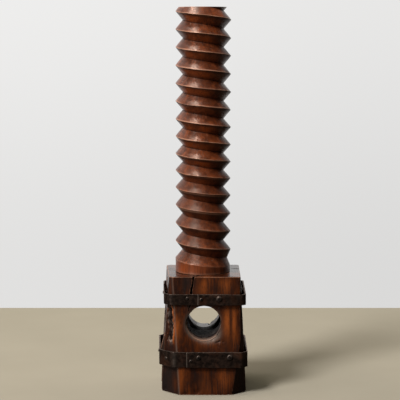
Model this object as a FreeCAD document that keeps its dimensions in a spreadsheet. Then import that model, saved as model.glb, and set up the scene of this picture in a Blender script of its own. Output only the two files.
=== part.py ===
import FreeCAD, Part
import math
import os
import Sketcher

# Wooden press screw standing on its square head block, held by two lapped iron straps.
# Millimetres, +Z up, +X to the right, -Y to the front. The origin is on the screw's axis,
# at the level of the head's underside.

Vector = FreeCAD.Vector

doc = FreeCAD.newDocument("PressScrew")

# ---------------------------------------------------------------- driving dimensions

SIZES = {
    # overall
    "overall_height": 1300,
    "head_height": 402,
    # screw: one left-hand V thread, plain collar, tenon
    "crest_radius": 95,
    "root_radius": 69.5,
    "thread_pitch": 60,
    "crest_flat": 2,
    "groove_start_above_head": 45,
    "tenon_radius": 60,
    "tenon_length": 80,
    "tenon_clearance": 0.3,
    "mortise_end_gap": 2,
    # head block: how far each face stands from the screw's axis, at the base and at the top
    "base_left_front": 143,
    "base_left_back": 149,
    "base_right": 147,
    "base_front": 145,
    "base_back": 145,
    "top_left_front": 117,
    "top_left_back": 130,
    "top_right": 127,
    "top_front": 128.5,
    "top_back": 128.5,
    # head block: width of the flat hewn off each corner, at the base, the waist and the top
    "waist_height": 190,
    "base_cut_front_left": 62,
    "base_cut_front_right": 50,
    "base_cut_back_left": 48,
    "base_cut_back_right": 42,
    "waist_cut_front_left": 39,
    "waist_cut_front_right": 12,
    "waist_cut_back_left": 30,
    "waist_cut_back_right": 14,
    "top_cut_front_left": 13,
    "top_cut_front_right": 5,
    "top_cut_back_left": 10,
    "top_cut_back_right": 6,
    # turning bar holes
    "bar_hole_radius": 54,
    "bar_hole_crown": 19,
    "bar_hole_offset": 3,
    # peg through head and tenon
    "pin_radius": 10,
    "pin_depth_below_top": 34,
    # iron straps
    "strap_thickness": 5.5,
    "lap_gap": 0.3,
    "upper_band_above_bar_hole": 5.5,
    "upper_band_width": 38,
    "upper_gap_left_front": 4.5,
    "upper_gap_left_back": 0.3,
    "upper_gap_right": 6.5,
    "upper_bend_front_left": 20,
    "upper_bend_other": 10,
    "upper_lap_outer_end": -19,
    "upper_lap_inner_end": 85,
    "lower_band_below_bar_hole": 44,
    "lower_band_width": 54,
    "lower_gap_left_front": 7,
    "lower_gap_left_back": 6.5,
    "lower_gap_right": 2,
    "lower_bend_front_left": 46,
    "lower_bend_other": 18,
    "lower_lap_outer_end": -57,
    "lower_lap_inner_end": 115,
    # nails and rivets
    "shank_radius": 3,
    "nail_length": 60,
    "nail_point": 14,
    "small_head_radius": 6,
    "small_head_height": 3,
    "rivet_head_radius": 8,
    "rivet_head_height": 4.5,
    "large_head_radius": 10.5,
    "large_head_height": 6,
    # where they sit: across from the axis, and up from their strap's lower edge
    "upper_nail_x": -53,
    "upper_nail_rise": 23.5,
    "upper_rivet_left_x": -6.5,
    "upper_rivet_left_rise": 20.5,
    "upper_rivet_right_x": 53,
    "upper_rivet_right_rise": 22.5,
    "lower_rivet_left_x": -42,
    "lower_rivet_left_rise": 23.5,
    "lower_rivet_middle_x": -16,
    "lower_rivet_middle_rise": 35.5,
    "lower_rivet_right_x": 89,
    "lower_rivet_right_rise": 36.5,
    # shim and wedges, and how far their middles lie towards the front
    "shim_thickness": 4,
    "shim_width": 36,
    "shim_length": 52,
    "shim_lean": 6,
    "shim_below_band_top": 26,
    "wedge_width": 46,
    "wedge_tip_thickness": 2,
    "wedge_shoulder": 3,
    "wedge_from_middle": 66,
    "upper_wedge_rise": 18,
    "lower_wedge_rise": 46,
}

CORNERS = ("front_left", "front_right", "back_left", "back_right")

# Shape of a fastener's head and point, as shares of its radius and height.
CROWN = 0.5
RIM = 0.45
BLUNT_POINT = 0.25

# How far a cutting outline stands outside what it cuts, and a blank inside what trims it.
MOUTH_PROUD = 3
BITE = 2

sheet = doc.addObject("Spreadsheet::Sheet", "Sizes")
for row, (alias, value) in enumerate(SIZES.items(), start=1):
    sheet.set("A%d" % row, alias)
    sheet.set("B%d" % row, str(value))
    sheet.setAlias("B%d" % row, alias)
doc.recompute()


def size(alias):
    """The name by which an expression reads one cell of the sheet."""
    return "Sizes." + alias


def negative(expression):
    return "-(%s)" % expression


# Heights that follow from others: the mortise, the bar holes under it and the straps by them.
MORTISE_DEPTH = "(Sizes.tenon_length + Sizes.mortise_end_gap)"
BAR_HOLE_TOP = "(Sizes.head_height - %s - Sizes.bar_hole_crown)" % MORTISE_DEPTH
BAR_HOLE_HEIGHT = "(%s - Sizes.bar_hole_radius)" % BAR_HOLE_TOP
LOWER_BAND_TOP = "(%s - Sizes.bar_hole_radius - Sizes.lower_band_below_bar_hole)" % BAR_HOLE_HEIGHT
BAND_BOTTOM = {
    "upper": "(%s + Sizes.upper_band_above_bar_hole)" % BAR_HOLE_TOP,
    "lower": "(%s - Sizes.lower_band_width)" % LOWER_BAND_TOP,
}
GROOVE_START = "(Sizes.head_height + Sizes.groove_start_above_head)"


# ---------------------------------------------------------------- sketch and feature helpers


def origin_part(body, role):
    """One of a body's own origin planes or axes."""
    for feature in body.Origin.OriginFeatures:
        if feature.Role == role:
            return feature
    raise ValueError("no origin feature " + role)


def new_sketch(body, name, role, offset="0"):
    """An empty sketch on an origin plane of the body, moved along the plane's normal."""
    sketch = body.newObject("Sketcher::SketchObject", name)
    sketch.AttachmentSupport = [(origin_part(body, role), "")]
    sketch.MapMode = "FlatFace"
    sketch.setExpression("AttachmentOffset.Base.z", offset)
    return sketch


def expression_value(sketch, expression):
    """The number that an expression gives now, for a sketch's first drawing."""
    result = sketch.evalExpression(expression)
    return float(getattr(result, "Value", result))


def pin_point(sketch, line, end, x, y):
    """Hold one end of a line at x, y, both given as expressions."""
    for kind, expression in (("DistanceX", x), ("DistanceY", y)):
        value = expression_value(sketch, expression)
        index = sketch.addConstraint(Sketcher.Constraint(kind, -1, 1, line, end, value))
        sketch.setExpression("Constraints[%d]" % index, expression)


def draw_lines(sketch, points, closed=True):
    """Straight lines through points, each given as a pair of expressions."""
    places = [Vector(expression_value(sketch, x), expression_value(sketch, y), 0) for x, y in points]
    count = len(points) if closed else len(points) - 1
    for index in range(count):
        following = (index + 1) % len(points)
        sketch.addGeometry(Part.LineSegment(places[index], places[following]), False)
    for index in range(1, count):
        sketch.addConstraint(Sketcher.Constraint("Coincident", index - 1, 2, index, 1))
    if closed:
        sketch.addConstraint(Sketcher.Constraint("Coincident", count - 1, 2, 0, 1))
    for index, (x, y) in enumerate(points[:count]):
        pin_point(sketch, index, 1, x, y)
    if not closed:
        pin_point(sketch, count - 1, 2, points[-1][0], points[-1][1])


def draw_circle(sketch, radius, x="0", y="0"):
    """A circle whose radius and centre are expressions."""
    centre = Vector(expression_value(sketch, x), expression_value(sketch, y), 0)
    value = expression_value(sketch, radius)
    sketch.addGeometry(Part.Circle(centre, Vector(0, 0, 1), value), False)
    index = sketch.addConstraint(Sketcher.Constraint("Radius", 0, value))
    sketch.setExpression("Constraints[%d]" % index, radius)
    for kind, expression, at in (("DistanceX", x, centre.x), ("DistanceY", y, centre.y)):
        index = sketch.addConstraint(Sketcher.Constraint(kind, -1, 1, 0, 3, at))
        sketch.setExpression("Constraints[%d]" % index, expression)


def pad(body, name, sketch, length, reversed_way=False):
    feature = body.newObject("PartDesign::Pad", name)
    feature.Profile = sketch
    feature.Reversed = reversed_way
    feature.setExpression("Length", length)
    return feature


def cut_through(body, name, sketch):
    """A pocket that runs through the whole body, both ways from its sketch."""
    feature = body.newObject("PartDesign::Pocket", name)
    feature.Profile = sketch
    feature.Type = "ThroughAll"
    feature.Midplane = True
    return feature


def new_body(label):
    body = doc.addObject("PartDesign::Body", label)
    body.Label = label
    return body


def cut_by(label, base, tool):
    """The base with the tool's shape taken out of it, under the sub-part's own label."""
    result = doc.addObject("Part::Cut", label)
    result.Base = base
    result.Tool = tool
    result.Label = label
    return result


def gather(name, members):
    """Several shapes as one compound, to cut with or to keep as one node."""
    compound = doc.addObject("Part::Compound", name)
    compound.Links = members
    compound.Label = name
    return compound


# ---------------------------------------------------------------- screw


def make_screw():
    """Round shank with a left-hand V groove, a plain collar and a tenon below it."""
    body = new_body("press_screw_blank")
    shoulder = size("head_height")

    shank = new_sketch(body, "shank_outline", "XY_Plane", shoulder)
    draw_circle(shank, size("crest_radius"))
    pad(body, "shank", shank, "Sizes.overall_height - Sizes.head_height")

    tenon = new_sketch(body, "tenon_outline", "XY_Plane", shoulder)
    draw_circle(tenon, size("tenon_radius"))
    pad(body, "tenon", tenon, size("tenon_length"), reversed_way=True)
    doc.recompute()

    # The groove's mouth is drawn a little outside the shank, on the line of its flanks.
    depth = "(Sizes.crest_radius - Sizes.root_radius)"
    half_groove = "(Sizes.thread_pitch - Sizes.crest_flat) / 2"
    half_mouth = "(%s * (%s + %s) / %s)" % (half_groove, depth, MOUTH_PROUD, depth)
    mouth = "Sizes.crest_radius + %s" % MOUTH_PROUD
    groove = new_sketch(body, "groove_section", "XZ_Plane")
    draw_lines(groove, [
        (size("root_radius"), GROOVE_START),
        (mouth, "%s + %s" % (GROOVE_START, half_mouth)),
        (mouth, "%s - %s" % (GROOVE_START, half_mouth)),
    ])
    thread = body.newObject("PartDesign::SubtractiveHelix", "thread_groove")
    thread.Profile = groove
    thread.ReferenceAxis = (origin_part(body, "Z_Axis"), [""])
    thread.Mode = "pitch-height-angle"
    thread.LeftHanded = True
    thread.setExpression("Pitch", size("thread_pitch"))
    thread.setExpression("Height", "Sizes.overall_height - %s + Sizes.thread_pitch" % GROOVE_START)
    return body


# ---------------------------------------------------------------- head block


def face_at(side, height):
    """How far one face of the head stands from the axis at a height, as an expression."""
    base = size("base_" + side)
    top = size("top_" + side)
    return "(%s + (%s - %s) * (%s) / Sizes.head_height)" % (base, top, base, height)


def head_section(body, level, height):
    """The head's outline at one level: four faces and four hewn corners."""
    left_front = face_at("left_front", height)
    left_back = face_at("left_back", height)
    right = face_at("right", height)
    front = face_at("front", height)
    back = face_at("back", height)
    cut = {corner: size("%s_cut_%s" % (level, corner)) for corner in CORNERS}
    sketch = new_sketch(body, level + "_outline", "XY_Plane", height)
    draw_lines(sketch, [
        ("-%s + %s" % (left_front, cut["front_left"]), negative(front)),
        ("%s - %s" % (right, cut["front_right"]), negative(front)),
        (right, "-%s + %s" % (front, cut["front_right"])),
        (right, "%s - %s" % (back, cut["back_right"])),
        ("%s - %s" % (right, cut["back_right"]), back),
        ("-%s + %s" % (left_back, cut["back_left"]), back),
        (negative(left_back), "%s - %s" % (back, cut["back_left"])),
        (negative(left_front), "-%s + %s" % (front, cut["front_left"])),
    ])
    return sketch


def make_head():
    """Tapered square block with a mortise from above and two crossing bar holes."""
    body = new_body("screw_head_blank")
    base = head_section(body, "base", "0")
    waist = head_section(body, "waist", size("waist_height"))
    top = head_section(body, "top", size("head_height"))
    loft = body.newObject("PartDesign::AdditiveLoft", "hewn_block")
    loft.Profile = base
    loft.Sections = [waist, top]
    loft.Ruled = True
    doc.recompute()

    mortise = new_sketch(body, "mortise_outline", "XY_Plane", size("head_height"))
    draw_circle(mortise, "Sizes.tenon_radius + Sizes.tenon_clearance")
    pocket = body.newObject("PartDesign::Pocket", "mortise")
    pocket.Profile = mortise
    pocket.setExpression("Length", MORTISE_DEPTH)

    through = new_sketch(body, "front_bar_hole_outline", "XZ_Plane")
    draw_circle(through, size("bar_hole_radius"), size("bar_hole_offset"), BAR_HOLE_HEIGHT)
    cut_through(body, "front_bar_hole", through)

    across = new_sketch(body, "side_bar_hole_outline", "YZ_Plane")
    draw_circle(across, size("bar_hole_radius"), "0", BAR_HOLE_HEIGHT)
    cut_through(body, "side_bar_hole", across)
    return body


# ---------------------------------------------------------------- tenon pin


def make_tenon_pin():
    """Round peg from the head's left face to its right face, through the tenon."""
    height = "Sizes.head_height - Sizes.pin_depth_below_top"
    left = "((%s + %s) / 2)" % (face_at("left_front", height), face_at("left_back", height))
    right = face_at("right", height)
    peg = doc.addObject("Part::Cylinder", "tenon_pin")
    peg.Label = "tenon_pin"
    peg.Placement.Rotation = FreeCAD.Rotation(Vector(0, 1, 0), 90)
    peg.setExpression("Radius", size("pin_radius"))
    peg.setExpression("Height", "%s + %s" % (left, right))
    peg.setExpression("Placement.Base.x", negative(left))
    peg.setExpression("Placement.Base.z", height)
    return peg


# ---------------------------------------------------------------- iron straps


def strap_faces(band):
    """How far the strap's inner side stands from the axis on each side, as expressions."""
    bottom = BAND_BOTTOM[band]
    return {
        "left_front": "(%s + Sizes.%s_gap_left_front)" % (face_at("left_front", bottom), band),
        "left_back": "(%s + Sizes.%s_gap_left_back)" % (face_at("left_back", bottom), band),
        "right": "(%s + Sizes.%s_gap_right)" % (face_at("right", bottom), band),
        "front": face_at("front", bottom),
        "back": face_at("back", bottom),
    }


def make_strap(band):
    """Flat bar bent round the head, its outer end lapped over its inner end in front."""
    body = new_body(band + "_band_blank")
    faces = strap_faces(band)
    half = "Sizes.strap_thickness / 2"
    left_front = "%s + %s" % (faces["left_front"], half)
    left_back = "%s + %s" % (faces["left_back"], half)
    right = "%s + %s" % (faces["right"], half)
    back = "%s + %s" % (faces["back"], half)
    under = "%s + %s" % (faces["front"], half)
    over = "%s + Sizes.strap_thickness + Sizes.lap_gap" % under
    big_bend = size(band + "_bend_front_left")
    bend = size(band + "_bend_other")
    inner_end = size(band + "_lap_inner_end")
    outer_end = size(band + "_lap_outer_end")
    bottom = BAND_BOTTOM[band]
    width = size(band + "_band_width")

    path = new_sketch(body, "strap_path", "XY_Plane", "%s + %s / 2" % (bottom, width))
    draw_lines(path, [
        (inner_end, negative(under)),
        ("-(%s) + %s" % (left_front, big_bend), negative(under)),
        (negative(left_front), "-(%s) + %s" % (under, big_bend)),
        (negative(left_back), "%s - %s" % (back, bend)),
        ("-(%s) + %s" % (left_back, bend), back),
        ("%s - %s" % (right, bend), back),
        (right, "%s - %s" % (back, bend)),
        (right, "-(%s) + %s" % (over, bend)),
        ("%s - %s" % (right, bend), negative(over)),
        (outer_end, negative(over)),
    ], closed=False)

    bar = new_sketch(body, "bar_section", "YZ_Plane", inner_end)
    inner_face = negative(faces["front"])
    outer_face = "-%s - Sizes.strap_thickness" % faces["front"]
    draw_lines(bar, [
        (outer_face, bottom),
        (inner_face, bottom),
        (inner_face, "%s + %s" % (bottom, width)),
        (outer_face, "%s + %s" % (bottom, width)),
    ])
    sweep = body.newObject("PartDesign::AdditivePipe", "bent_bar")
    sweep.Profile = bar
    sweep.Spine = path
    sweep.Transition = "Right corner"
    return body


# ---------------------------------------------------------------- nails and rivets


def make_fastener(name, head, shank_length, point="0"):
    """A domed head with its shank along -Z, its underside on the body's XY plane."""
    body = new_body(name)
    head_radius = size(head + "_head_radius")
    head_height = size(head + "_head_height")
    shank = size("shank_radius")
    sketch = new_sketch(body, "half_outline", "XZ_Plane")
    tip = "%s * %s" % (shank, BLUNT_POINT) if point != "0" else shank
    outline = [
        ("0", head_height),
        ("%s * %s" % (head_radius, CROWN), head_height),
        (head_radius, "%s * %s" % (head_height, RIM)),
        (head_radius, "0"),
        (shank, "0"),
        (shank, "-(%s) + %s" % (shank_length, point)),
        (tip, negative(shank_length)),
        ("0", negative(shank_length)),
    ]
    if point == "0":
        del outline[5]
    draw_lines(sketch, outline)
    turned = body.newObject("PartDesign::Revolution", "turned_outline")
    turned.Profile = sketch
    turned.ReferenceAxis = (origin_part(body, "Z_Axis"), [""])
    turned.Angle = 360
    return body


def place(obj, x, y, z, axis, angle):
    """Turn an object about an axis and put its origin at x, y, z, given as expressions."""
    obj.Placement.Rotation = FreeCAD.Rotation(axis, angle)
    for letter, expression in (("x", x), ("y", y), ("z", z)):
        obj.setExpression("Placement.Base." + letter, expression)


def lap_rivet(band, which, head):
    """A rivet through both thicknesses of a strap's lap, its head in front."""
    both_layers = "2 * Sizes.strap_thickness + Sizes.lap_gap"
    place_name = "%s_rivet_%s" % (band, which)
    rivet = make_fastener("%s_lap_rivet_%s" % (band, which), head, both_layers)
    surface = "-%s - (%s)" % (strap_faces(band)["front"], both_layers)
    height = "%s + Sizes.%s_rise" % (BAND_BOTTOM[band], place_name)
    place(rivet, size(place_name + "_x"), surface, height, Vector(1, 0, 0), 90)
    return rivet


def upper_front_nail():
    """A small nail through the single thickness of the upper strap, left of its lap."""
    nail = make_fastener("upper_front_nail", "small", size("nail_length"), size("nail_point"))
    surface = "-%s - Sizes.strap_thickness" % strap_faces("upper")["front"]
    height = "%s + Sizes.upper_nail_rise" % BAND_BOTTOM["upper"]
    place(nail, size("upper_nail_x"), surface, height, Vector(1, 0, 0), 90)
    return nail


def lower_corner_nail():
    """A nail through the lower strap's slanting run across the front left corner."""
    faces = strap_faces("lower")
    nail = make_fastener("lower_corner_nail", "small", size("nail_length"), size("nail_point"))
    half_bend = "Sizes.lower_bend_front_left / 2"
    outwards = "Sizes.strap_thickness / 2 * %s" % (1 - 1 / math.sqrt(2))
    x = "-%s - Sizes.strap_thickness + %s + %s" % (faces["left_front"], half_bend, outwards)
    y = "-%s - Sizes.strap_thickness + %s + %s" % (faces["front"], half_bend, outwards)
    height = "%s + Sizes.lower_band_width / 2" % BAND_BOTTOM["lower"]
    place(nail, x, y, height, Vector(1, -1, 0), 90)
    return nail


def side_nails(band):
    """One nail in the middle of the strap on the left, the back and the right."""
    faces = strap_faces(band)
    height = "%s + Sizes.%s_band_width / 2" % (BAND_BOTTOM[band], band)
    left = "((%s + %s) / 2 + Sizes.strap_thickness)" % (faces["left_front"], faces["left_back"])
    right = "%s + Sizes.strap_thickness" % faces["right"]
    back = "%s + Sizes.strap_thickness" % faces["back"]
    nails = []
    for side, x, y, axis, angle in (
        ("left", negative(left), "0", Vector(0, 1, 0), -90),
        ("back", "0", back, Vector(1, 0, 0), -90),
        ("right", right, "0", Vector(0, 1, 0), 90),
    ):
        name = "%s_%s_nail" % (band, side)
        nail = make_fastener(name, "small", size("nail_length"), size("nail_point"))
        place(nail, x, y, height, axis, angle)
        nails.append(nail)
    return gather(band + "_side_nails", nails)


# ---------------------------------------------------------------- shim and wedges


def left_distance(front_value, back_value, faces):
    """A left face's distance from the axis, level with the middle of the shim and wedges."""
    towards_front = "(%s + Sizes.wedge_from_middle)" % faces["back"]
    towards_back = "(%s - Sizes.wedge_from_middle)" % faces["front"]
    depth = "(%s + %s)" % (faces["front"], faces["back"])
    return "((%s * %s + %s * %s) / %s)" % (front_value, towards_front, back_value, towards_back, depth)


def make_shim():
    """A thin iron plate behind the upper strap on the left, its upper end leaning out."""
    faces = strap_faces("upper")
    plate = doc.addObject("Part::Box", "upper_left_shim_blank")
    foot = "%s + Sizes.upper_band_width - Sizes.shim_below_band_top" % BAND_BOTTOM["upper"]
    wood = left_distance(face_at("left_front", foot), face_at("left_back", foot), faces)
    plate.setExpression("Length", size("shim_thickness"))
    plate.setExpression("Width", size("shim_width"))
    plate.setExpression("Height", size("shim_length"))
    plate.setExpression("Placement.Rotation.Angle", "-Sizes.shim_lean")
    plate.Placement.Rotation.Axis = Vector(0, 1, 0)
    plate.setExpression("Placement.Base.x", "-%s - Sizes.shim_thickness" % wood)
    plate.setExpression("Placement.Base.y", "-Sizes.wedge_from_middle - Sizes.shim_width / 2")
    plate.setExpression("Placement.Base.z", foot)
    return plate


def make_wedge(name, band, side):
    """A wedge between head and strap, flush with the strap's lower edge, its tip above."""
    body = new_body(name + "_blank")
    faces = strap_faces(band)
    bottom = BAND_BOTTOM[band]
    strap_top = "(%s + %s)" % (bottom, size(band + "_band_width"))
    tip = "(%s + Sizes.%s_wedge_rise)" % (strap_top, band)
    if side == "right":
        sign = ""
        wood_low = face_at("right", bottom)
        wood_high = face_at("right", tip)
        iron = faces["right"]
    else:
        sign = "-"
        wood_low = left_distance(face_at("left_front", bottom), face_at("left_back", bottom), faces)
        wood_high = left_distance(face_at("left_front", tip), face_at("left_back", tip), faces)
        iron = left_distance(faces["left_front"], faces["left_back"], faces)
    sketch = new_sketch(body, "wedge_outline", "XZ_Plane", size("wedge_from_middle"))
    draw_lines(sketch, [
        ("%s(%s - %s)" % (sign, wood_low, 2 * BITE), bottom),
        ("%s(%s + %s)" % (sign, iron, BITE), bottom),
        ("%s(%s + %s)" % (sign, iron, BITE), "%s - Sizes.wedge_shoulder" % strap_top),
        ("%s(%s + Sizes.wedge_tip_thickness)" % (sign, wood_high), tip),
        ("%s(%s - %s)" % (sign, wood_high, 2 * BITE), tip),
    ])
    slab = pad(body, "wedge", sketch, size("wedge_width"))
    slab.Midplane = True
    return body


# ---------------------------------------------------------------- the whole


screw_blank = make_screw()
head_blank = make_head()
tenon_pin = make_tenon_pin()
upper_strap = make_strap("upper")
lower_strap = make_strap("lower")

upper_rivets = [lap_rivet("upper", "left", "small"), lap_rivet("upper", "right", "large")]
lower_rivets = [
    lap_rivet("lower", "left", "small"),
    lap_rivet("lower", "middle", "rivet"),
    lap_rivet("lower", "right", "large"),
]
front_nail = upper_front_nail()
corner_nail = lower_corner_nail()
upper_side_nails = side_nails("upper")
lower_side_nails = side_nails("lower")

nails = [front_nail, corner_nail, upper_side_nails, lower_side_nails]
fasteners = gather("all_fasteners", nails + upper_rivets + lower_rivets)

head_cutters = gather("head_cutters", nails + [tenon_pin])
press_screw = cut_by("press_screw", screw_blank, tenon_pin)
screw_head = cut_by("screw_head", head_blank, head_cutters)
upper_band = cut_by("upper_band", upper_strap, fasteners)
lower_band = cut_by("lower_band", lower_strap, fasteners)

around_upper = gather("head_and_upper_band", [head_blank, upper_strap])
around_lower = gather("head_and_lower_band", [head_blank, lower_strap])
shim = cut_by("upper_left_shim", make_shim(), around_upper)
wedges = [
    cut_by("upper_right_wedge", make_wedge("upper_right_wedge", "upper", "right"), around_upper),
    cut_by("lower_left_wedge", make_wedge("lower_left_wedge", "lower", "left"), around_lower),
    cut_by("lower_right_wedge", make_wedge("lower_right_wedge", "lower", "right"), around_lower),
]

sub_parts = [press_screw, screw_head, tenon_pin, upper_band, lower_band]
sub_parts += upper_rivets + lower_rivets + nails + [shim] + wedges

doc.recompute()

for obj in doc.Objects:
    if "Invalid" in obj.State or "Error" in obj.State:
        raise RuntimeError("%s did not compute: %s" % (obj.Name, obj.State))

for obj in sub_parts:
    if obj.Shape.isNull() or not obj.Shape.isValid() or not obj.Shape.Solids:
        raise RuntimeError("%s has no valid solid" % obj.Label)

os.makedirs("parts", exist_ok=True)
for obj in sub_parts:
    obj.Shape.exportStep("parts/%s.step" % obj.Label)
    box = obj.Shape.BoundBox
    print("%-24s %d solid(s) %11.0f mm3  z %.1f to %.1f" % (
        obj.Label, len(obj.Shape.Solids), obj.Shape.Volume, box.ZMin, box.ZMax))
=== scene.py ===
import math

import bpy
from mathutils import Matrix, Vector, noise


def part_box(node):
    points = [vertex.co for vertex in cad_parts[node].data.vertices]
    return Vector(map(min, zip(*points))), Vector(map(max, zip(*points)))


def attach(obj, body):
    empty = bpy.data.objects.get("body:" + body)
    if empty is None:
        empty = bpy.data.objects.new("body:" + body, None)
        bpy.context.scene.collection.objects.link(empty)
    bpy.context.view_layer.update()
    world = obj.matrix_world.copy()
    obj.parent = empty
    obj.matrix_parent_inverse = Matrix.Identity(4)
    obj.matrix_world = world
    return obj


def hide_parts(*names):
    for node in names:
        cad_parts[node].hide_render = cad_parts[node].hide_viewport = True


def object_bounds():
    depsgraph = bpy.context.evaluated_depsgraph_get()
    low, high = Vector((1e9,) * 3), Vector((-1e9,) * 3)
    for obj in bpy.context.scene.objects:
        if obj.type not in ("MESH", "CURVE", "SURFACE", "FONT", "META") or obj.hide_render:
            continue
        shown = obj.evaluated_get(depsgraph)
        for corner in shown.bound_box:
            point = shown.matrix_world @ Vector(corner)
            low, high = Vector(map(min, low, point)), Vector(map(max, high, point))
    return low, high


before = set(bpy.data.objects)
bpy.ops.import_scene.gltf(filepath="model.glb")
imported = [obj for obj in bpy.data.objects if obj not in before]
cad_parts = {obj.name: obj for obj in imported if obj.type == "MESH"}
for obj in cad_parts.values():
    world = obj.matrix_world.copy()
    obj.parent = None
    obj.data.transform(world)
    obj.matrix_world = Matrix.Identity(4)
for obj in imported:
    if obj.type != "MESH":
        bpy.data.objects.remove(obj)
cad_low, cad_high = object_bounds()

# A wooden press screw standing on its square head block, with two lapped iron straps.
# Metres, +Z up, -Y to the front. Each CAD piece is replaced by a worked one in the same place.

PITCH = 0.060
CREST_RADIUS = 0.095
ROOT_RADIUS = 0.0695
GROOVE_HEIGHT = 0.447
COLLAR_CUT = 0.424
TENON_RADIUS = 0.060
BAR_HOLE_RADIUS = 0.054
BAR_HOLE_X = 0.003
BAR_HOLE_Z = 0.247
STRAP_THICKNESS = 0.0055
FRONT_AT_FOOT = -0.145
FRONT_AT_SHOULDER = -0.1285
RIGHT_SIDE, LEFT_SIDE = 0.135, -0.132
HEAD_VOXEL = 0.0032
WEDGE_VOXEL = 0.0011
# The bar holes' walls are painted black as shade up to here; behind it they are polished by the bar.
POLISHED_FROM = 0.052

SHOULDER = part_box("screw_head")[1].z
TENON_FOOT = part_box("press_screw")[0].z
TOP = cad_high.z


# -------------------- working helpers


def pick(piece):
    """Leave edit mode and make one object the only selected and active one."""
    if bpy.context.object and bpy.context.object.mode != "OBJECT":
        bpy.ops.object.mode_set(mode="OBJECT")
    bpy.ops.object.select_all(action="DESELECT")
    piece.select_set(True)
    bpy.context.view_layer.objects.active = piece


def edit(piece):
    """Open a piece in edit mode with everything selected."""
    pick(piece)
    bpy.ops.object.mode_set(mode="EDIT")
    bpy.ops.mesh.select_mode(type="VERT")
    bpy.ops.mesh.select_all(action="SELECT")


def leave_edit():
    bpy.ops.object.mode_set(mode="OBJECT")


def settle(piece, name):
    """Name a new object and put its place into its mesh."""
    pick(piece)
    bpy.ops.object.transform_apply(location=True, rotation=True, scale=True)
    piece.name = name
    piece.data.name = name
    return piece


def select_where(piece, test):
    """In object mode, select the vertices that a test on their place holds for."""
    for polygon in piece.data.polygons:
        polygon.select = False
    for line in piece.data.edges:
        line.select = False
    for vertex in piece.data.vertices:
        vertex.select = test(vertex.co)


def add_modifier(piece, kind, **values):
    """Add a modifier, set it up and apply it."""
    pick(piece)
    modifier = piece.modifiers.new(kind.title(), kind)
    for key, value in values.items():
        setattr(modifier, key, value)
    bpy.ops.object.modifier_apply(modifier=modifier.name)


def tidy_mesh(piece, gap=1e-5):
    """Merge doubles and turn every face outwards."""
    edit(piece)
    bpy.ops.mesh.remove_doubles(threshold=gap)
    bpy.ops.mesh.normals_make_consistent(inside=False)
    leave_edit()


def smooth_shading(piece, degrees):
    pick(piece)
    bpy.ops.object.shade_smooth_by_angle(angle=math.radians(degrees))


def extrude_selected(step):
    bpy.ops.mesh.extrude_region_move(TRANSFORM_OT_translate={"value": step})


def scale_selected(value):
    bpy.ops.transform.resize(value=value, center_override=(0, 0, 0))


def cut_level(height, **kept):
    """Cut what is selected with a level plane and clear one side of it."""
    bpy.ops.mesh.bisect(plane_co=(0, 0, height), plane_no=(0, 0, 1), **kept)


def draw_line(name, places):
    """A line of edges through places, drawn by extruding one vertex from place to place."""
    bpy.ops.mesh.primitive_plane_add(size=0.01, location=places[0])
    piece = settle(bpy.context.object, name)
    edit(piece)
    bpy.ops.mesh.merge(type="CENTER")
    # Out of edit mode and back, so that the points are numbered in the order they are drawn.
    leave_edit()
    edit(piece)
    for before, after in zip(places, places[1:]):
        extrude_selected(Vector(after) - Vector(before))
    leave_edit()
    return piece


def push(piece, movement):
    """Move each vertex by what a function of its place and normal gives."""
    moves = [movement(vertex.co, vertex.normal) for vertex in piece.data.vertices]
    for vertex, move in zip(piece.data.vertices, moves):
        vertex.co += move
    piece.data.update()


def paint(piece, tones):
    """Store three tones for each vertex, as a colour attribute that a material can read."""
    # The tones hold marks and wear, and also painted shade and painted highlights.
    layer = piece.data.color_attributes.new(name="tone_marks", type="FLOAT_COLOR", domain="POINT")
    for vertex, mark in zip(piece.data.vertices, layer.data):
        mark.color = (*tones(vertex.co, vertex.normal), 1.0)


def grain_noise(place, across, along):
    """Noise that is drawn out along Z, with its own count per metre across and along."""
    return noise.noise(Vector((place.x * across, place.y * across, place.z * along)))


def as_share(signed):
    """Noise of -1 to 1 as a share of 0 to 1."""
    return 0.5 + 0.5 * signed


def smooth_step(low, high, value):
    share = min(max((value - low) / (high - low), 0.0), 1.0)
    return share * share * (3 - 2 * share)


def bump_at(value, centre, width):
    """A smooth hump of height 1 at the centre."""
    return math.exp(-((value - centre) / width) ** 2)


def worked_copy(node, name, voxel):
    """A copy of a CAD piece, remeshed finely enough to be worn and dented."""
    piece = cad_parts[node].copy()
    piece.data = piece.data.copy()
    bpy.context.scene.collection.objects.link(piece)
    piece.parent = None
    settle(piece, name)
    tidy_mesh(piece, 1e-6)
    add_modifier(piece, "REMESH", mode="VOXEL", voxel_size=voxel, use_smooth_shade=True)
    return piece


def stands_for(piece, node, material=None):
    """Hang a finished piece in the frame in place of its CAD node."""
    if material:
        piece.data.materials.clear()
        piece.data.materials.append(material)
    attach(piece, "root")
    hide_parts(node)


# -------------------- screw


THREAD_DEPTH = CREST_RADIUS - ROOT_RADIUS
FLANK_STEPS = (0.0, 0.02, 0.1, 0.18, 0.26, 0.34, 0.42, 0.47, 0.5)
STEPS_PER_TURN = 120
SPARE_TURNS = 2
COLLAR_RINGS = 4
END_RIM = 0.004


def turns_from_groove(place):
    """How far up a point lies, in turns from the thread's first groove, and how far round it is."""
    around = (-math.atan2(place.y, place.x) / math.tau) % 1.0
    return (place.z - GROOVE_HEIGHT) / PITCH - around, around


def thread_profile():
    """One pitch of the thread, from the bottom of a groove to the next one up."""
    rising = [(ROOT_RADIUS + THREAD_DEPTH * 2 * share, share) for share in FLANK_STEPS]
    falling = [(radius, 1 - share) for radius, share in reversed(rising[:-1])]
    return [(radius, share * PITCH) for radius, share in rising + falling]


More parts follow.
